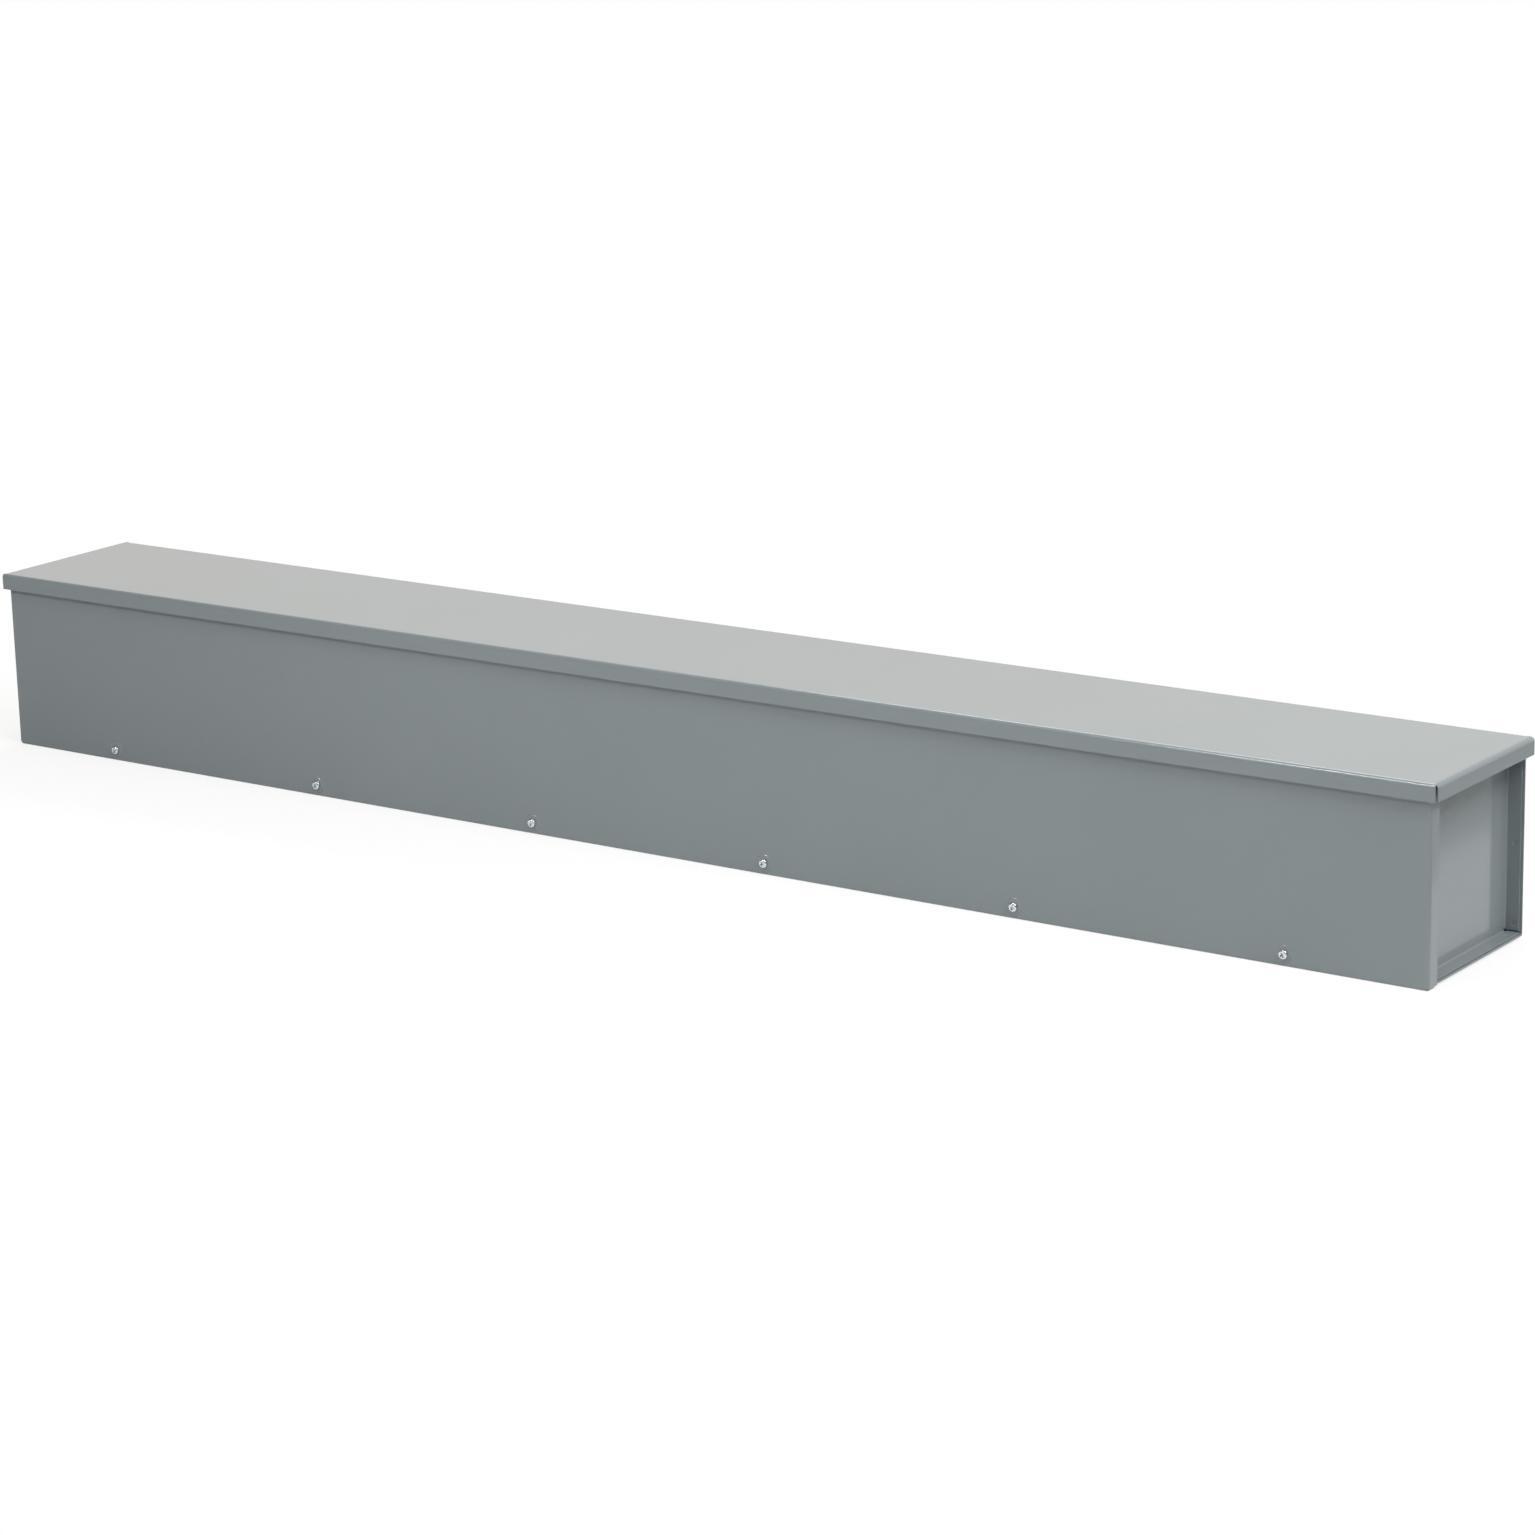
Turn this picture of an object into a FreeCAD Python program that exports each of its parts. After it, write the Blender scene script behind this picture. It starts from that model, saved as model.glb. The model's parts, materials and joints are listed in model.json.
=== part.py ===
import FreeCAD, Part
import math
import os

# Rainproof wireway trough of folded sheet steel, in millimetres.
# X runs along the trough, the cover faces -Y and Z is up.
# The origin is on the floor, under the middle of the whole part.

# Sheet, folds and fits
sheet = 1.5                   # wall of every folded piece
fold_inside = 0.8             # inside radius of an ordinary fold
hood_end_fold_inside = 3.5    # inside radius of the softer folds at the hood's ends
tray_fold_inside = 1.6        # inside radius of the end plates' folds
weld_gap = 0.4                # fit-up room between spot-welded sheets
seat_gap = 0.2                # paint between the cover and the lip it seats on

# Trough body
body_length = 1828.8
body_depth = 198.3            # front of the lip to the back face
body_height = 200.9

# Drip hood, folded from the top of the body
hood_reach = 5.2              # how far the hood stands in front of the cover
hood_end_overhang = 8.8       # how far the hood passes each end of the body
hood_drop = 17.8              # height of the hood's flanges
hood_slit = 0.8               # slit between the front flange and an end flange

# End plates
end_inset = 2.4               # body end to the edge of an end plate's flanges
end_recess = 15.0             # flange edge to the plate's web

# Front cover
cover_side_gap = 0.5          # room between a side return and the body's end
cover_under_gap = 0.8         # room between the bottom return and the body
cover_top_gap = 4.5           # room between the cover's top edge and the hood
side_return = 16.0
bottom_return = 16.0

# Screws along the bottom of the cover, each on a raised round seat
screw_count = 6
screw_inset = 152.4           # body end to the first screw
screw_height = 12.7           # above the bottom of the cover
lip_above_screw = 12.0        # how far the lip reaches above the screws
screw_diameter = 4.8
screw_length = 12.7
screw_clearance = 0.2         # on the diameter, where the screw passes a sheet
tip_chamfer = 0.8
head_diameter = 9.4
head_height = 2.9
head_edge = 1.3               # height of the straight side of the head
crown_diameter = 6.4          # flat top of the head, inside its sloped shoulder
recess_span = 5.4             # across the wings of the cross recess
recess_floor_span = 1.8
recess_width = 1.3            # thickness of a wing
recess_depth = 2.0
recess_turn = 47.0            # each recess stands turned this much from the one before
seat_rise = 0.9
seat_top_diameter = 15.2
seat_base_diameter = 20.0

# Wall mounting holes through the back
mount_hole_diameter = 7.9
mount_end_inset = 127.0       # body end to a hole
mount_row_inset = 38.1        # body top or bottom to a hole

# Planes and levels
fold_radius = sheet + fold_inside
hood_end_radius = sheet + hood_end_fold_inside
tray_radius = sheet + tray_fold_inside
cover_stand = sheet + seat_gap
body_bottom = sheet + cover_under_gap
body_top = body_bottom + body_height
back_face = (body_depth + cover_stand + hood_reach) / 2
lip_face = back_face - body_depth
cover_face = lip_face - cover_stand
hood_face = cover_face - hood_reach
body_end = body_length / 2
hood_end = body_end + hood_end_overhang
cover_end = body_end + cover_side_gap + sheet
lip_top = screw_height + lip_above_screw
cover_top = body_top - sheet - cover_top_gap
screw_spacing = (body_length - 2 * screw_inset) / (screw_count - 1)
screw_places = [screw_inset - body_end + n * screw_spacing for n in range(screw_count)]
seat_foot = FreeCAD.Vector(seat_base_diameter / 2, 0, 0)
seat_shoulder = FreeCAD.Vector(seat_top_diameter / 2, -seat_rise, 0)

ORIGIN = FreeCAD.Vector(0, 0, 0)
X = FreeCAD.Vector(1, 0, 0)
Y = FreeCAD.Vector(0, 1, 0)
Z = FreeCAD.Vector(0, 0, 1)


def straight(start, end):
    """The edge between two points, or none where they meet."""
    return [] if start.isEqual(end, 1e-6) else [Part.makeLine(start, end)]


def rounded_run(corners, radius):
    """Edges through the corners, with a quarter-round arc at each square turn."""
    edges = []
    start = corners[0]
    for before, corner, after in zip(corners, corners[1:], corners[2:]):
        into = (corner - before).normalize()
        out = (after - corner).normalize()
        first = corner - into * radius
        last = corner + out * radius
        middle = corner + (out - into) * radius * (1 - math.sqrt(0.5))
        edges += straight(start, first)
        edges.append(Part.Arc(first, middle, last).toShape())
        start = last
    return edges + straight(start, corners[-1])


def closed(corners):
    """A flat face inside straight edges through the corners."""
    edges = []
    for start, end in zip(corners, corners[1:] + corners[:1]):
        edges += straight(start, end)
    return Part.Face(Part.Wire(edges))


def folded_strip(corners, along, length, inside_radius=fold_inside):
    """A sheet folded square at its inner corners and pulled both ways from their plane.

    The corners lie on the outer face of the folds, and the wall is on the side of direction x along.
    """
    walls = [(b - a).normalize().cross(along) * sheet for a, b in zip(corners, corners[1:])]
    inner = [corners[0] + walls[0]]
    for corner, before, after in zip(corners[1:-1], walls, walls[1:]):
        inner.append(corner + before + after)
    inner.append(corners[-1] + walls[-1])
    outline = rounded_run(corners, sheet + inside_radius)
    outline += straight(corners[-1], inner[-1])
    outline += rounded_run(inner[::-1], inside_radius)
    outline += straight(inner[0], corners[0])
    section = Part.Face(Part.Wire(outline))
    section.translate(along * (-length / 2))
    return section.extrude(along * length)


def join(first, *others):
    """One solid with the seams between its flush faces taken out."""
    return first.fuse(list(others)).removeSplitter()


def mirrored(shape):
    """The same shape at the other end of the trough."""
    return shape.mirror(ORIGIN, X)


def turned(section):
    """A solid turned about Y from its half section."""
    return section.revolve(ORIGIN, Y, 360)


def drill(diameter, x, z, start, end):
    """A round cutter along Y that passes both planes."""
    spare = diameter
    base = FreeCAD.Vector(x, start - spare, z)
    return Part.makeCylinder(diameter / 2, end - start + 2 * spare, base, Y)


def make_body():
    """Hood, top, back, bottom and lip, folded from one sheet."""
    flat_front = hood_face + fold_radius
    flat_end = hood_end - hood_end_radius
    trough = folded_strip(
        [FreeCAD.Vector(0, flat_front, body_top),
         FreeCAD.Vector(0, back_face, body_top),
         FreeCAD.Vector(0, back_face, body_bottom),
         FreeCAD.Vector(0, lip_face, body_bottom),
         FreeCAD.Vector(0, lip_face, lip_top)],
        X, body_length)
    front_flange = folded_strip(
        [FreeCAD.Vector(0, hood_face, body_top - hood_drop),
         FreeCAD.Vector(0, hood_face, body_top),
         FreeCAD.Vector(0, flat_front, body_top)],
        X, 2 * (hood_end - sheet))

    # Past the body's end the top runs on as an ear, and folds down behind the corner slit.
    ear = Part.makeBox(flat_end - body_end, back_face - flat_front, sheet,
                       FreeCAD.Vector(body_end, flat_front, body_top - sheet))
    flange_front = flat_front + hood_slit
    flange_middle = (flange_front + back_face) / 2
    end_flange = folded_strip(
        [FreeCAD.Vector(flat_end, flange_middle, body_top),
         FreeCAD.Vector(hood_end, flange_middle, body_top),
         FreeCAD.Vector(hood_end, flange_middle, body_top - hood_drop)],
        -Y, back_face - flange_front, hood_end_fold_inside)
    body = join(trough, front_flange, ear, end_flange, mirrored(ear), mirrored(end_flange))

    cutters = []
    for x in screw_places:
        cutters.append(drill(screw_diameter + screw_clearance, x, screw_height, lip_face, lip_face + sheet))
    for x in (mount_end_inset - body_end, body_end - mount_end_inset):
        for z in (body_bottom + mount_row_inset, body_top - mount_row_inset):
            cutters.append(drill(mount_hole_diameter, x, z, back_face - sheet, back_face))
    return body.cut(cutters)


def make_end_plate():
    """A tray in the right-hand end of the body, with its flanges turned outwards."""
    clear = sheet + weld_gap
    front = lip_face + clear
    back = back_face - clear
    bottom = body_bottom + clear
    top = body_top - clear
    edge = body_end - end_inset
    inner = edge - end_recess - sheet
    middle_y = (front + back) / 2
    middle_z = (bottom + top) / 2
    upright = folded_strip(
        [FreeCAD.Vector(edge, front, middle_z),
         FreeCAD.Vector(inner, front, middle_z),
         FreeCAD.Vector(inner, back, middle_z),
         FreeCAD.Vector(edge, back, middle_z)],
        Z, top - bottom - 2 * tray_radius, tray_fold_inside)
    level = folded_strip(
        [FreeCAD.Vector(edge, middle_y, bottom),
         FreeCAD.Vector(inner, middle_y, bottom),
         FreeCAD.Vector(inner, middle_y, top),
         FreeCAD.Vector(edge, middle_y, top)],
        -Y, back - front - 2 * tray_radius, tray_fold_inside)

    # The level flanges run on past their folds to the corners, and leave a slit to the upright ones.
    flat = inner + tray_radius
    flanges = []
    for z in (bottom, top - sheet):
        flanges.append(Part.makeBox(edge - flat, back - front, sheet, FreeCAD.Vector(flat, front, z)))
    return join(upright, level, *flanges)


def raised_round(side):
    """The raised round of one screw seat, from the sheet's plane at Y = 0 out to its flat top."""
    top = FreeCAD.Vector(0, -seat_rise, 0)
    outline = side + straight(seat_shoulder, top) + straight(top, ORIGIN) + straight(ORIGIN, seat_foot)
    return turned(Part.Face(Part.Wire(outline)))


def seat_side():
    """One arc that leaves the seat's flat top smoothly and runs down to the sheet."""
    run = seat_foot.x - seat_shoulder.x
    slope = 2 * math.atan2(seat_rise, run)
    radius = run / math.sin(slope)
    half_way = FreeCAD.Vector(radius * math.sin(slope / 2), radius * (1 - math.cos(slope / 2)), 0)
    return [Part.Arc(seat_foot, seat_shoulder + half_way, seat_shoulder).toShape()]


def make_cover():
    """A slip-on pan: front, two side returns and a bottom return, with a raised seat at each screw."""
    side_middle = (fold_radius + cover_top) / 2
    panel = folded_strip(
        [FreeCAD.Vector(-cover_end, cover_face + side_return, side_middle),
         FreeCAD.Vector(-cover_end, cover_face, side_middle),
         FreeCAD.Vector(cover_end, cover_face, side_middle),
         FreeCAD.Vector(cover_end, cover_face + side_return, side_middle)],
        -Z, cover_top - fold_radius)
    under = folded_strip(
        [FreeCAD.Vector(0, cover_face, cover_top),
         FreeCAD.Vector(0, cover_face, 0),
         FreeCAD.Vector(0, cover_face + bottom_return, 0)],
        -X, 2 * (cover_end - fold_radius))
    pan = join(panel, under)

    # The sheet is pushed out at each screw: added in front, and hollowed one wall behind.
    raised = raised_round(seat_side())
    hollow = raised_round(straight(seat_foot, seat_shoulder))
    fronts = []
    backs = []
    for x in screw_places:
        fronts.append(raised.translated(FreeCAD.Vector(x, cover_face, screw_height)))
        backs.append(hollow.translated(FreeCAD.Vector(x, cover_face + sheet, screw_height)))
        backs.append(drill(screw_diameter + screw_clearance, x, screw_height,
                           cover_face - seat_rise, cover_face + sheet))
    return join(pan, *fronts).cut(backs)


def driver_recess():
    """A cross recess in the head: two crossed wings that narrow towards their floor."""
    floor = recess_depth - head_height
    wing = closed([
        FreeCAD.Vector(-recess_span / 2, -head_height, -recess_width / 2),
        FreeCAD.Vector(recess_span / 2, -head_height, -recess_width / 2),
        FreeCAD.Vector(recess_floor_span / 2, floor, -recess_width / 2),
        FreeCAD.Vector(-recess_floor_span / 2, floor, -recess_width / 2)]).extrude(Z * recess_width)
    crossing = wing.copy()
    crossing.rotate(ORIGIN, Y, 90)
    return join(wing, crossing)


def make_screw(number):
    """A pan-head screw with its head on the seat, its recess turned as it was left."""
    shank = screw_diameter / 2
    head = head_diameter / 2
    section = closed([
        FreeCAD.Vector(0, screw_length, 0),
        FreeCAD.Vector(shank - tip_chamfer, screw_length, 0),
        FreeCAD.Vector(shank, screw_length - tip_chamfer, 0),
        FreeCAD.Vector(shank, 0, 0),
        FreeCAD.Vector(head, 0, 0),
        FreeCAD.Vector(head, -head_edge, 0),
        FreeCAD.Vector(crown_diameter / 2, -head_height, 0),
        FreeCAD.Vector(0, -head_height, 0)])
    recess = driver_recess()
    recess.rotate(ORIGIN, Y, number * recess_turn)
    screw = turned(section).cut(recess)
    seat_top = FreeCAD.Vector(screw_places[number], cover_face - seat_rise, screw_height)
    return screw.translated(seat_top)


right_end = make_end_plate()
pieces = {
    "trough_body": make_body(),
    "end_plate_left": mirrored(right_end),
    "end_plate_right": right_end,
    "front_cover": make_cover(),
}
for number in range(screw_count):
    pieces[f"cover_screw_{number + 1}"] = make_screw(number)

os.makedirs("parts", exist_ok=True)
for name, shape in pieces.items():
    shape.exportStep(os.path.join("parts", f"{name}.step"))
    bounds = shape.BoundBox
    print(name, shape.isValid(), len(shape.Solids), round(shape.Volume), bounds)
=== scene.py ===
import bmesh
import bpy
import json
import math
from bmesh.geometry import intersect_face_point
from mathutils import Matrix, Vector


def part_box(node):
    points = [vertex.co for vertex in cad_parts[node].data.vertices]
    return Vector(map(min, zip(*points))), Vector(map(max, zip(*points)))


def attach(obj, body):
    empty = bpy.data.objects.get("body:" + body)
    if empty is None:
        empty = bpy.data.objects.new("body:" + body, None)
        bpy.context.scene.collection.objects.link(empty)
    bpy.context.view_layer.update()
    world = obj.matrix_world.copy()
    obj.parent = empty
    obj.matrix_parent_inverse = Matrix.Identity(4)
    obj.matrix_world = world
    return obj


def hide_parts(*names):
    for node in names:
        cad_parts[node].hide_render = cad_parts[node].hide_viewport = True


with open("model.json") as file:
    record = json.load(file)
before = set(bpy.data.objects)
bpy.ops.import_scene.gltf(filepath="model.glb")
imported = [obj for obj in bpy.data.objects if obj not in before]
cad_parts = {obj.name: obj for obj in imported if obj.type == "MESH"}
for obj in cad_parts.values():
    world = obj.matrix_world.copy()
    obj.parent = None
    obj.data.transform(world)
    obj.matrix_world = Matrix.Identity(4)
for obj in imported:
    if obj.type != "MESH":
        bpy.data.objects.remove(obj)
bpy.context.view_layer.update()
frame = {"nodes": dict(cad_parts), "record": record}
scene = bpy.context.scene
scene.view_settings.view_transform = "Standard"
mm = 0.001
axisX = Vector((1, 0, 0))
axisY = Vector((0, 1, 0))
axisZ = Vector((0, 0, 1))
bodyLow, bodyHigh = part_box("trough_body")
endLow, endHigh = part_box("end_plate_right")
coverLow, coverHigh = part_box("front_cover")
screwNodes = sorted(name for name in frame["nodes"] if name.startswith("cover_screw"))
screwPlaces = []
for node in screwNodes:
    low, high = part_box(node)
    screwPlaces.append((low + high) / 2)
print("frame loaded,", len(frame["nodes"]), "nodes")


# Materials

def linear(hexCode):
    channels = [int(hexCode[i:i + 2], 16) / 255 for i in (1, 3, 5)]
    return [c / 12.92 if c <= 0.04045 else ((c + 0.055) / 1.055) ** 2.4 for c in channels] + [1]


def addNode(tree, kind, settings=None, values=None, links=None):
    node = tree.nodes.new(kind)
    for name, value in (settings or {}).items():
        setattr(node, name, value)
    for name, value in (values or {}).items():
        node.inputs[name].default_value = value
    for name, socket in (links or {}).items():
        tree.links.new(socket, node.inputs[name])
    return node


def newMaterial(name):
    material = bpy.data.materials.new(name)
    material.use_nodes = True
    material.node_tree.nodes.clear()
    return material, material.node_tree


# Baked polyester paint on sheet steel: an even grey with a wet-looking gloss, a faint cloudiness
# where the coat varies, and the low ripple of orange peel that softens what it mirrors.
paint = {
    "thick": "#818A8D",
    "thin": "#879093",
    "cloud": 160 * mm,
    "peel": 3.5 * mm,
    "peelHeight": 0.0012 * mm,
    "smoothest": 0.10,
    "dullest": 0.15,
    "ior": 1.5,
}
greyPaint, tree = newMaterial("grey baked polyester paint")
place = addNode(tree, "ShaderNodeTexCoord").outputs["Object"]
cloud = addNode(tree, "ShaderNodeTexNoise", values={"Scale": 1 / paint["cloud"], "Detail": 3},
                links={"Vector": place}).outputs["Fac"]
colour = addNode(tree, "ShaderNodeMix", {"data_type": "RGBA"},
                 {"A": linear(paint["thick"]), "B": linear(paint["thin"])},
                 {"Factor": cloud}).outputs["Result"]
gloss = addNode(tree, "ShaderNodeMapRange", values={"To Min": paint["smoothest"], "To Max": paint["dullest"]},
                links={"Value": cloud}).outputs["Result"]
peel = addNode(tree, "ShaderNodeTexNoise", values={"Scale": 1 / paint["peel"], "Detail": 1},
               links={"Vector": place}).outputs["Fac"]
ripple = addNode(tree, "ShaderNodeBump", values={"Distance": paint["peelHeight"], "Strength": 1},
                 links={"Height": peel}).outputs["Normal"]
coat = addNode(tree, "ShaderNodeBsdfPrincipled", values={"IOR": paint["ior"]},
               links={"Base Color": colour, "Roughness": gloss, "Normal": ripple})
addNode(tree, "ShaderNodeOutputMaterial", links={"Surface": coat.outputs["BSDF"]})

# Zinc-plated steel, bright dipped: a pale bluish metal with a soft sheen and fine forming marks.
zinc = {
    "pale": "#E8EAEB",
    "blue": "#D9DDE1",
    "mark": 0.6 * mm,
    "markHeight": 0.004 * mm,
    "smoothest": 0.16,
    "dullest": 0.28,
}
zincPlate, tree = newMaterial("bright zinc plate on steel")
place = addNode(tree, "ShaderNodeTexCoord").outputs["Object"]
mark = addNode(tree, "ShaderNodeTexNoise", values={"Scale": 1 / zinc["mark"], "Detail": 2},
               links={"Vector": place}).outputs["Fac"]
colour = addNode(tree, "ShaderNodeMix", {"data_type": "RGBA"},
                 {"A": linear(zinc["pale"]), "B": linear(zinc["blue"])},
                 {"Factor": mark}).outputs["Result"]
gloss = addNode(tree, "ShaderNodeMapRange", values={"To Min": zinc["smoothest"], "To Max": zinc["dullest"]},
                links={"Value": mark}).outputs["Result"]
ripple = addNode(tree, "ShaderNodeBump", values={"Distance": zinc["markHeight"], "Strength": 1},
                 links={"Height": mark}).outputs["Normal"]
plate = addNode(tree, "ShaderNodeBsdfPrincipled", values={"Metallic": 1},
                links={"Base Color": colour, "Roughness": gloss, "Normal": ripple})
addNode(tree, "ShaderNodeOutputMaterial", links={"Surface": plate.outputs["BSDF"]})
print("materials made")


# Sheet metal

sheet = {
    "wall": 1.5 * mm,
    "fold": 2.3 * mm,          # outside radius of an ordinary fold
    "foldSteps": 8,
    "cutEdge": 0.25 * mm,      # paint rounds the cut edges over
    "edgeSteps": 2,
    "sharpFrom": 50,           # an edge that turns more than this is rounded, in degrees
    "spare": 0.3 * mm,         # flat left beside a fold, a notch or a round form
}
nearly = 1e-6                  # closer than this counts as the same place


def cutAcross(bm, axis, *places, where=lambda at: True):
    for place in places:
        faces = [face for face in bm.faces if where(face.calc_center_median())]
        geom = {item for face in faces for item in (face, *face.edges, *face.verts)}
        bmesh.ops.bisect_plane(bm, geom=list(geom), dist=nearly, plane_co=axis * place, plane_no=axis)


def removeFaces(bm, test):
    gone = [face for face in bm.faces if test(face.calc_center_median())]
    bmesh.ops.delete(bm, geom=gone, context="FACES")


def edgesWhere(bm, test):
    return [edge for edge in bm.edges if all(test(vert.co) for vert in edge.verts)]


def pull(bm, edges, move):
    made = bmesh.ops.extrude_edge_only(bm, edges=edges)["geom"]
    bmesh.ops.translate(bm, verts=[item for item in made if isinstance(item, bmesh.types.BMVert)], vec=move)


def fold(bm, edges, radius):
    bmesh.ops.bevel(bm, geom=edges, offset=radius, offset_type="OFFSET", segments=sheet["foldSteps"],
                    profile=0.5, affect="EDGES", material=-1, clamp_overlap=False)


def faceAt(bm, place):
    bm.normal_update()
    for face in bm.faces:
        if abs((place - face.verts[0].co).dot(face.normal)) < nearly and intersect_face_point(face, place):
            return face


# A round form pressed into a flat wall: rings are (radius, rise) from the wall inwards
def pressRound(bm, place, out, rings, steps=48):
    reach = rings[0][0] + sheet["spare"]
    pastCorners = reach * 1.5
    for side in (axis for axis in (axisX, axisY, axisZ) if abs(axis.dot(out)) < 0.5):
        for sign in (1, -1):
            face = faceAt(bm, place)
            bmesh.ops.bisect_plane(bm, geom=[face, *face.edges, *face.verts], dist=nearly,
                                   plane_co=place + side * reach * sign, plane_no=side)
    patch = faceAt(bm, place)
    border = list(patch.edges)
    bmesh.ops.delete(bm, geom=[patch], context="FACES_ONLY")
    bmesh.ops.subdivide_edges(bm, edges=border, cuts=steps // 4 - 1)
    loop = [edge for edge in bm.edges if edge.is_boundary
            and all((vert.co - place).length < pastCorners for vert in edge.verts)]
    for radius, rise in rings:
        made = bmesh.ops.extrude_edge_only(bm, edges=loop)["geom"]
        loop = [item for item in made if isinstance(item, bmesh.types.BMEdge) and item.is_boundary]
        for vert in (item for item in made if isinstance(item, bmesh.types.BMVert)):
            arm = vert.co - place
            arm -= out * arm.dot(out)
            vert.co = place + arm.normalized() * radius + out * rise
    return loop


# Two equal arcs from a wall to a level beside it
def easeRings(wide, narrow, rise, steps=5):
    slope = 2 * math.atan2(abs(rise), wide - narrow)
    arc = (wide - narrow) / (2 * math.sin(slope))
    way = math.copysign(1, rise)
    turns = [slope * step / steps for step in range(steps + 1)]
    rings = [(wide - arc * math.sin(a), way * arc * (1 - math.cos(a))) for a in turns]
    rings += [(narrow + arc * math.sin(a), rise - way * arc * (1 - math.cos(a))) for a in turns[-2::-1]]
    return rings


def finishPiece(name, bm, material, node):
    for face in bm.faces:
        face.smooth = True
    mesh = bpy.data.meshes.new(name)
    bm.to_mesh(mesh)
    bm.free()
    mesh.materials.append(material)
    piece = bpy.data.objects.new(name, mesh)
    scene.collection.objects.link(piece)
    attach(piece, "root")
    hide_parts(node)
    return piece


def roundEdges(piece, width):
    edge = piece.modifiers.new("rounded edges", "BEVEL")
    edge.width = width
    edge.segments = sheet["edgeSteps"]
    edge.limit_method = "ANGLE"
    edge.angle_limit = math.radians(sheet["sharpFrom"])
    piece.modifiers.new("even shading", "WEIGHTED_NORMAL")


# A skin gets its wall behind it, so one known face says which way is out
def finishSheet(name, bm, known, out, node):
    bmesh.ops.recalc_face_normals(bm, faces=bm.faces)
    if faceAt(bm, known).normal.dot(out) < 0:
        bmesh.ops.reverse_faces(bm, faces=bm.faces)
    piece = finishPiece(name, bm, greyPaint, node)
    wall = piece.modifiers.new("wall", "SOLIDIFY")
    wall.thickness = sheet["wall"]
    wall.offset = -1
    wall.use_even_offset = True
    wall.use_quality_normals = True
    roundEdges(piece, sheet["cutEdge"])
    print(name, "made")
    return piece


# Front cover: a pan that slips on, with a raised round seat under each screw

cover = {
    "seatRise": 0.9 * mm,
    "seatFoot": 9.9 * mm,
    "seatTop": 7.7 * mm,
    "hole": 2.5 * mm,
    "sideGap": 0.5 * mm,       # room between a side return and the body's end
    "notch": sheet["fold"] + sheet["spare"],
}
coverFace = coverLow.y + cover["seatRise"]
coverEnd = coverHigh.x
coverReturn = coverHigh.y - coverFace
bm = bmesh.new()
corners = [(-coverEnd, coverLow.z), (coverEnd, coverLow.z),
           (coverEnd, coverHigh.z), (-coverEnd, coverHigh.z)]
bm.faces.new([bm.verts.new((x, coverFace, z)) for x, z in corners])
cutAcross(bm, axisX, cover["notch"] - coverEnd, coverEnd - cover["notch"])
cutAcross(bm, axisZ, coverLow.z + cover["notch"])
removeFaces(bm, lambda at: abs(at.x) > coverEnd - cover["notch"] and at.z < coverLow.z + cover["notch"])
sides = edgesWhere(bm, lambda at: abs(at.x) > coverEnd - nearly)
under = edgesWhere(bm, lambda at: at.z < coverLow.z + nearly)
pull(bm, sides + under, axisY * coverReturn)
creases = edgesWhere(bm, lambda at: at.y < coverFace + nearly and (
    abs(at.x) > coverEnd - nearly or at.z < coverLow.z + nearly))
fold(bm, creases, sheet["fold"])
seat = easeRings(cover["seatFoot"], cover["seatTop"], cover["seatRise"])
for at in screwPlaces:
    pressRound(bm, Vector((at.x, coverFace, at.z)), -axisY, seat + [(cover["hole"], cover["seatRise"])])
finishSheet("cover_sheet", bm, Vector((0, coverFace, coverHigh.z / 2)), -axisY, "front_cover")


# Trough body: drip hood, top, back, bottom and lip, folded from one sheet

trough = {
    "frontFold": 3.4 * mm,     # the hood's front fold, a little softer than the others
    "endFold": 5.0 * mm,       # softer still at the hood's ends
    "drop": 17.8 * mm,
    "slit": 0.8 * mm,          # open corner between the hood's flanges
    "relief": 1.0 * mm,        # notch beside the end of the back fold
    "seatGap": 0.2 * mm,
    "lipAbove": 12.0 * mm,
    "hole": 2.5 * mm,
}
hoodEnd, backFace, hoodTop = bodyHigh
hoodFace, bodyBottom = bodyLow.y, bodyLow.z
bodyEnd = coverEnd - sheet["wall"] - cover["sideGap"]
lipFace = coverFace + sheet["wall"] + trough["seatGap"]
lipTop = screwPlaces[0].z + trough["lipAbove"]
earFlat = hoodEnd - trough["endFold"] - sheet["spare"]
frontEnd = hoodEnd - sheet["wall"]
frontFlat = hoodFace + trough["frontFold"] + sheet["spare"]
endFront = hoodFace + trough["frontFold"] + trough["slit"]
backFlat = backFace - sheet["fold"] - sheet["spare"]
bm = bmesh.new()
corners = [(-hoodEnd, hoodFace), (hoodEnd, hoodFace), (hoodEnd, backFace), (-hoodEnd, backFace)]
bm.faces.new([bm.verts.new((x, y, hoodTop)) for x, y in corners])
for place in (bodyEnd, bodyEnd + trough["relief"], earFlat):
    cutAcross(bm, axisX, -place, place)
cutAcross(bm, axisY, frontFlat, endFront, backFlat)
cutAcross(bm, axisX, -frontEnd, frontEnd, where=lambda at: abs(at.x) > earFlat and at.y < frontFlat)
removeFaces(bm, lambda at: abs(at.x) > earFlat and at.y < endFront and not (
    abs(at.x) < frontEnd and at.y < frontFlat))
removeFaces(bm, lambda at: bodyEnd < abs(at.x) < bodyEnd + trough["relief"] and at.y > backFlat)
front = edgesWhere(bm, lambda at: at.y < hoodFace + nearly)
ends = edgesWhere(bm, lambda at: abs(at.x) > hoodEnd - nearly)
pull(bm, front + ends, -axisZ * trough["drop"])
back = edgesWhere(bm, lambda at: at.y > backFace - nearly and abs(at.x) < bodyEnd + nearly)
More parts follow.
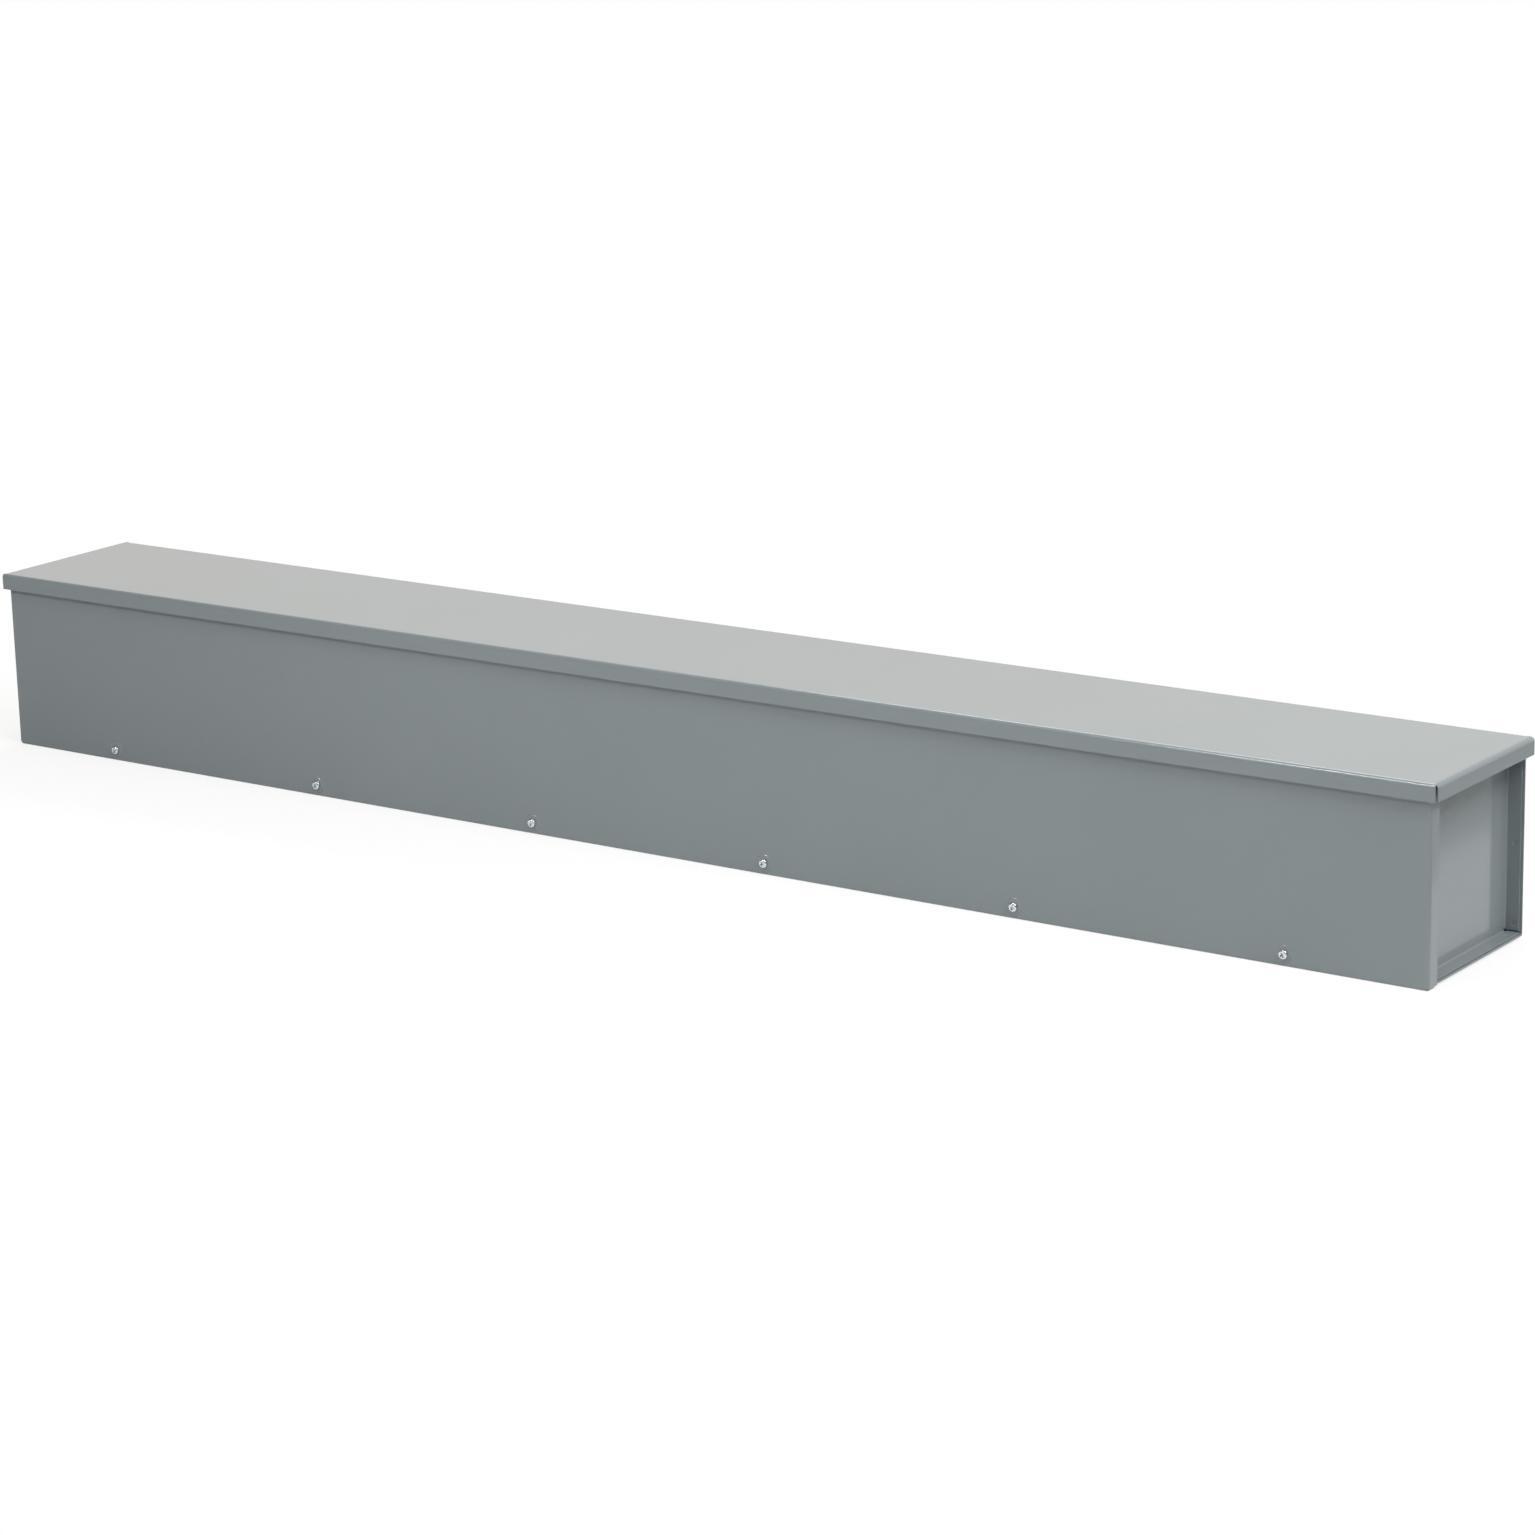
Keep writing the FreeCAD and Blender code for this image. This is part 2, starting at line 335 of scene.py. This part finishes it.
pull(bm, back, -axisZ * (hoodTop - bodyBottom))
pull(bm, edgesWhere(bm, lambda at: at.z < bodyBottom + nearly), -axisY * (backFace - lipFace))
bottomFront = edgesWhere(bm, lambda at: at.z < bodyBottom + nearly and at.y < lipFace + nearly)
pull(bm, bottomFront, axisZ * (lipTop - bodyBottom))
fold(bm, edgesWhere(bm, lambda at: at.z > hoodTop - nearly and abs(at.x) > hoodEnd - nearly),
     trough["endFold"])
fold(bm, edgesWhere(bm, lambda at: at.z > hoodTop - nearly and at.y < hoodFace + nearly),
     trough["frontFold"])
fold(bm, edgesWhere(bm, lambda at: at.z > hoodTop - nearly and at.y > backFace - nearly
                    and abs(at.x) < bodyEnd + nearly), sheet["fold"])
fold(bm, edgesWhere(bm, lambda at: at.z < bodyBottom + nearly and (
    at.y > backFace - nearly or at.y < lipFace + nearly)), sheet["fold"])
for at in screwPlaces:
    pressRound(bm, Vector((at.x, lipFace, at.z)), -axisY, [(trough["hole"], 0)])
bolts = next(mount for mount in frame["record"]["mounts"] if mount["name"] == "wall_bolts")
boltMiddle = Vector(bolts["pos_m"])
for signX in (-1, 1):
    for signZ in (-1, 1):
        alongBack = axisX * signX * bolts["dims"]["spacing_x_mm"] * mm / 2
        upBack = axisZ * signZ * bolts["dims"]["spacing_y_mm"] * mm / 2
        hole = boltMiddle + alongBack + upBack
        pressRound(bm, Vector((hole.x, backFace, hole.z)), axisY, [(bolts["dims"]["hole_r_mm"] * mm, 0)])
finishSheet("body_sheet", bm, Vector((0, 0, hoodTop)), axisZ, "trough_body")


# End plates: trays with their flanges turned outwards, spot-welded into the body

endPlate = {
    "fold": 3.1 * mm,
    "weldRadius": 3.4 * mm,
    "weldFlat": 2.3 * mm,
    "weldDepth": 0.36 * mm,
    "weldSteps": 24,           # sides of a weld's round
    "weldInset": 6.0 * mm,     # middle of a weld from the flange's edge
    "weldsEachSide": 3,
    "firstUp": 10.3 * mm,      # lowest weld above the plate's bottom
    "pitchUp": 81.0 * mm,
    "firstAlong": 16.7 * mm,   # hindmost weld from the plate's back
    "pitchAlong": 70.0 * mm,
}


def makeEnd(name, side, node):
    web = side * endLow.x
    notch = endPlate["fold"] + sheet["spare"]
    bm = bmesh.new()
    corners = [(endLow.y, endLow.z), (endHigh.y, endLow.z),
               (endHigh.y, endHigh.z), (endLow.y, endHigh.z)]
    bm.faces.new([bm.verts.new((web, y, z)) for y, z in corners])
    cutAcross(bm, axisY, endLow.y + notch, endHigh.y - notch)
    cutAcross(bm, axisZ, endLow.z + notch, endHigh.z - notch)
    removeFaces(bm, lambda at: not endLow.y + notch < at.y < endHigh.y - notch
                and not endLow.z + notch < at.z < endHigh.z - notch)

    def onRim(at):
        inY = min(at.y - endLow.y, endHigh.y - at.y)
        inZ = min(at.z - endLow.z, endHigh.z - at.z)
        return min(inY, inZ) < nearly

    pull(bm, edgesWhere(bm, onRim), axisX * side * (endHigh.x - endLow.x))
    fold(bm, edgesWhere(bm, lambda at: onRim(at) and abs(at.x - web) < nearly), endPlate["fold"])
    flat = web + side * notch
    cutAcross(bm, axisX, flat, where=lambda at: min(at.z - endLow.z, endHigh.z - at.z) < nearly)
    # The level flanges reach the corners
    for end, way in ((endLow.y + notch, -axisY), (endHigh.y - notch, axisY)):
        pull(bm, edgesWhere(bm, lambda at: onRim(at) and abs(at.y - end) < nearly
                            and (at.x - flat) * side > -nearly), way * notch)
    weldX = side * (endHigh.x - endPlate["weldInset"])
    mark = easeRings(endPlate["weldRadius"], endPlate["weldFlat"], endPlate["weldDepth"], steps=3)
    for number in range(endPlate["weldsEachSide"]):
        weldY = endHigh.y - endPlate["firstAlong"] - number * endPlate["pitchAlong"]
        weldZ = endLow.z + endPlate["firstUp"] + number * endPlate["pitchUp"]
        for at, out in (((weldX, endHigh.y, weldZ), axisY), ((weldX, endLow.y, weldZ), -axisY),
                        ((weldX, weldY, endHigh.z), axisZ), ((weldX, weldY, endLow.z), -axisZ)):
            bmesh.ops.edgeloop_fill(bm, edges=pressRound(bm, Vector(at), out, mark, endPlate["weldSteps"]))
    middle = (endLow + endHigh) / 2
    return finishSheet(name, bm, Vector((web, middle.y, middle.z)), -axisX * side, node)


makeEnd("end_sheet_left", -1, "end_plate_left")
makeEnd("end_sheet_right", 1, "end_plate_right")


# Screws: pan heads with a cross recess

screw = {
    "headHeight": 2.9 * mm,
    "crown": 1.5 * mm,         # round of the head's upper edge
    "shank": 2.4 * mm,
    "tip": 0.8 * mm,
    "recessSpan": 5.4 * mm,    # across the wings of the recess
    "recessFloor": 1.8 * mm,
    "recessWidth": 1.3 * mm,
    "recessDepth": 2.0 * mm,
    "recessTurn": 47,          # each recess stands turned this much from the one before, in degrees
    "edge": 0.12 * mm,
    "steps": 48,               # sides of the round head
    "crownSteps": 6,
}


def cutRecess(bm, top):
    half = screw["recessWidth"] / 2
    reach = screw["recessSpan"] / 2

    def inWing(at):
        return at.z > top - nearly and min(abs(at.x), abs(at.y)) < half and max(abs(at.x), abs(at.y)) < reach

    for axis in (axisX, axisY):
        cutAcross(bm, axis, -half, half, where=lambda at: at.z > top - nearly)
    for axis, across in ((axisX, axisY), (axisY, axisX)):
        cutAcross(bm, axis, -reach, reach,
                  where=lambda at: at.z > top - nearly and abs(at.dot(across)) < half)
    wings = [face for face in bm.faces if inWing(face.calc_center_median())]
    made = bmesh.ops.extrude_face_region(bm, geom=wings)["geom"]
    bmesh.ops.delete(bm, geom=wings, context="FACES")
    for vert in (item for item in made if isinstance(item, bmesh.types.BMVert)):
        vert.co.z -= screw["recessDepth"]
        shrink = screw["recessFloor"] / screw["recessSpan"]
        if abs(vert.co.x) > half + nearly:
            vert.co.x *= shrink
        if abs(vert.co.y) > half + nearly:
            vert.co.y *= shrink


for number, node in enumerate(screwNodes):
    low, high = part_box(node)
    head = (high.x - low.x) / 2
    length = high.y - low.y - screw["headHeight"]
    bm = bmesh.new()
    shank, tip = screw["shank"], screw["tip"]
    profile = [(head, screw["headHeight"]), (head, 0), (shank, 0),
               (shank, tip - length), (shank - tip, -length), (0, -length)]
    verts = [bm.verts.new((radius, 0, height)) for radius, height in profile]
    edges = [bm.edges.new(pair) for pair in zip(verts, verts[1:])]
    bmesh.ops.spin(bm, geom=verts + edges, cent=(0, 0, 0), axis=axisZ, angle=math.tau,
                   steps=screw["steps"], use_merge=True)
    bmesh.ops.remove_doubles(bm, verts=bm.verts, dist=nearly)
    rim = edgesWhere(bm, lambda at: at.z > screw["headHeight"] - nearly)
    bmesh.ops.edgeloop_fill(bm, edges=rim)
    bmesh.ops.recalc_face_normals(bm, faces=bm.faces)
    bmesh.ops.bevel(bm, geom=rim, offset=screw["crown"], offset_type="OFFSET", segments=screw["crownSteps"],
                    profile=0.5, affect="EDGES", material=-1)
    cutRecess(bm, screw["headHeight"])
    bmesh.ops.recalc_face_normals(bm, faces=bm.faces)
    recessTurn = -math.radians(number * screw["recessTurn"])
    turn = Matrix.Rotation(math.pi / 2, 3, "X") @ Matrix.Rotation(recessTurn, 3, "Z")
    bmesh.ops.rotate(bm, verts=bm.verts, cent=(0, 0, 0), matrix=turn)
    at = screwPlaces[number]
    bmesh.ops.translate(bm, verts=bm.verts, vec=(at.x, low.y + screw["headHeight"], at.z))
    piece = finishPiece(node + "_cross_recess", bm, zincPlate, node)
    roundEdges(piece, screw["edge"])
print(len(screwNodes), "screws made")


# Studio: white paper on the floor, a bright backdrop, a darker room in front, and softboxes

studio = {
    "floorReach": 30,
    "rightEnd": 1.08,          # the paper stops a little past the right-hand end
    "edgeBlur": 0.01,
    "leftFrom": -0.05,         # and fades away slantwise to the left
    "leftTo": -1.4,
    "leftSlant": -0.95,
    "paper": 0.80,             # share of the light that the paper gives back
    "pastPaper": 0.45,
    "shadowReach": 0.5,        # how far out the trough's shadow is kept
    "shadowShare": 0.30,       # how much of the shadow shows
    "backdrop": 1.02,
    "cream": "#FFF9F3",        # tint of the backdrop
    "front": 0.08,
    "turn": 0.3,               # how far the backdrop fades round to the front
    "ceiling": 0.25,
    "ceilingFrom": 0.45,       # how steeply up the ceiling starts and is full
    "ceilingFull": 0.65,
}
softboxes = {
    "key from the front left":
        {"at": (-0.85, -2.45, 2.5), "aim": (0, 0, 0.1), "size": (0.7, 0.5), "watts": 38},
    "fill high at the right":
        {"at": (2.3, -0.4, 2.3), "aim": (0.9, 0, 0.1), "size": (1.2, 1.2), "watts": 53},
    "over the front":
        {"at": (0.6, -0.9, 2.4), "aim": (0.5, -0.1, 0.1), "size": (1.6, 0.8), "watts": 16},
    "behind the left end":
        {"at": (-0.8, 1.9, 2.1), "aim": (-0.4, 0.1, 0.2), "size": (1.6, 1.0), "watts": 28},
}

floorMaterial, tree = newMaterial("white paper floor")
place = addNode(tree, "ShaderNodeTexCoord").outputs["Object"]
spot = addNode(tree, "ShaderNodeSeparateXYZ", links={"Vector": place})
rightEdge = addNode(tree, "ShaderNodeMapRange", values={
    "From Min": studio["rightEnd"] - studio["edgeBlur"], "From Max": studio["rightEnd"] + studio["edgeBlur"]},
    links={"Value": spot.outputs["X"]})
slant = addNode(tree, "ShaderNodeMath", {"operation": "MULTIPLY_ADD"}, {1: studio["leftSlant"]},
                {0: spot.outputs["Y"], 2: spot.outputs["X"]})
leftEdge = addNode(tree, "ShaderNodeMapRange", values={
    "From Min": studio["leftFrom"], "From Max": studio["leftTo"]}, links={"Value": slant.outputs["Value"]})
edge = addNode(tree, "ShaderNodeMath", {"operation": "MAXIMUM"}, links={
    0: rightEdge.outputs["Result"], 1: leftEdge.outputs["Result"]}).outputs["Value"]
path = addNode(tree, "ShaderNodeLightPath")
shade = addNode(tree, "ShaderNodeMix", values={"A": studio["paper"], "B": studio["pastPaper"]},
                links={"Factor": edge}).outputs["Result"]
plain = addNode(tree, "ShaderNodeMix", values={"B": 1},
                links={"Factor": path.outputs["Is Camera Ray"], "A": shade}).outputs["Result"]
paper = addNode(tree, "ShaderNodeBsdfDiffuse", links={"Color": plain}).outputs["BSDF"]
beside = addNode(tree, "ShaderNodeVectorMath", {"operation": "ABSOLUTE"}, links={0: place}).outputs["Vector"]
past = addNode(tree, "ShaderNodeVectorMath", {"operation": "SUBTRACT"}, {1: (hoodEnd, backFace, 0)},
               {0: beside})
outside = addNode(tree, "ShaderNodeVectorMath", {"operation": "MAXIMUM"}, links={0: past.outputs["Vector"]})
away = addNode(tree, "ShaderNodeVectorMath", {"operation": "LENGTH"}, links={0: outside.outputs["Vector"]})
clear = addNode(tree, "ShaderNodeMapRange", values={
    "From Max": studio["shadowReach"], "To Min": 1 - studio["shadowShare"]},
    links={"Value": away.outputs["Value"]}).outputs["Result"]
mirrored = addNode(tree, "ShaderNodeMath", {"operation": "MAXIMUM"}, links={
    0: path.outputs["Is Glossy Ray"], 1: path.outputs["Is Transmission Ray"]}).outputs["Value"]
seen = addNode(tree, "ShaderNodeMath", {"operation": "MAXIMUM"}, links={
    0: path.outputs["Is Camera Ray"], 1: mirrored}).outputs["Value"]
share = addNode(tree, "ShaderNodeMath", {"operation": "MULTIPLY"}, links={0: seen, 1: clear}).outputs["Value"]
dim = addNode(tree, "ShaderNodeMix", values={"A": 1, "B": studio["pastPaper"]},
              links={"Factor": edge}).outputs["Result"]
bright = addNode(tree, "ShaderNodeMix", values={"B": 1},
                 links={"Factor": path.outputs["Is Camera Ray"], "A": dim}).outputs["Result"]
white = addNode(tree, "ShaderNodeEmission", links={"Strength": bright}).outputs["Emission"]
look = addNode(tree, "ShaderNodeMixShader", links={0: share, 1: paper, 2: white}).outputs["Shader"]
addNode(tree, "ShaderNodeOutputMaterial", links={"Surface": look})

bm = bmesh.new()
bmesh.ops.create_grid(bm, x_segments=1, y_segments=1, size=studio["floorReach"])
mesh = bpy.data.meshes.new("floor")
bm.to_mesh(mesh)
bm.free()
mesh.materials.append(floorMaterial)
floor = bpy.data.objects.new("floor", mesh)
scene.collection.objects.link(floor)

world = bpy.data.worlds.new("studio sky")
scene.world = world
world.use_nodes = True
tree = world.node_tree
tree.nodes.clear()
place = addNode(tree, "ShaderNodeTexCoord").outputs["Generated"]
way = addNode(tree, "ShaderNodeSeparateXYZ", links={"Vector": place}).outputs
around = addNode(tree, "ShaderNodeMapRange", {"interpolation_type": "SMOOTHSTEP"}, values={
    "From Min": -studio["turn"], "From Max": studio["turn"],
    "To Min": studio["front"], "To Max": studio["backdrop"]},
    links={"Value": way["Y"]}).outputs["Result"]
height = addNode(tree, "ShaderNodeMapRange", {"interpolation_type": "SMOOTHSTEP"}, values={
    "From Min": studio["ceilingFrom"], "From Max": studio["ceilingFull"]},
    links={"Value": way["Z"]}).outputs["Result"]
glow = addNode(tree, "ShaderNodeMix", values={"B": studio["ceiling"]},
               links={"Factor": height, "A": around}).outputs["Result"]
path = addNode(tree, "ShaderNodeLightPath")
strength = addNode(tree, "ShaderNodeMix", values={"B": 1},
                   links={"Factor": path.outputs["Is Camera Ray"], "A": glow}).outputs["Result"]
tint = addNode(tree, "ShaderNodeMix", {"data_type": "RGBA"},
               {"A": linear(studio["cream"]), "B": linear("#FFFFFF")},
               {"Factor": path.outputs["Is Camera Ray"]}).outputs["Result"]
sky = addNode(tree, "ShaderNodeBackground", links={"Color": tint, "Strength": strength}).outputs["Background"]
addNode(tree, "ShaderNodeOutputWorld", links={"Surface": sky})

for name, box in softboxes.items():
    lamp = bpy.data.lights.new(name, "AREA")
    lamp.shape = "RECTANGLE"
    lamp.size, lamp.size_y = box["size"]
    lamp.energy = box["watts"]
    softbox = bpy.data.objects.new(name, lamp)
    softbox.location = box["at"]
    softbox.rotation_euler = (Vector(box["aim"]) - Vector(box["at"])).to_track_quat("-Z", "Y").to_euler()
    scene.collection.objects.link(softbox)

# Camera: three-quarter view from the right, a little above
shot = {
    "at": (2.7175, -3.6525, 1.2825),
    "turn": (75.0794, 1.3617, 35.3720),
    "lens": 103.564,
    "sensor": 36,
}
lens = bpy.data.cameras.new("camera")
lens.sensor_width = shot["sensor"]
lens.lens = shot["lens"]
camera = bpy.data.objects.new("camera", lens)
camera.location = shot["at"]
camera.rotation_euler = [math.radians(angle) for angle in shot["turn"]]
scene.collection.objects.link(camera)
scene.camera = camera
print("studio made")
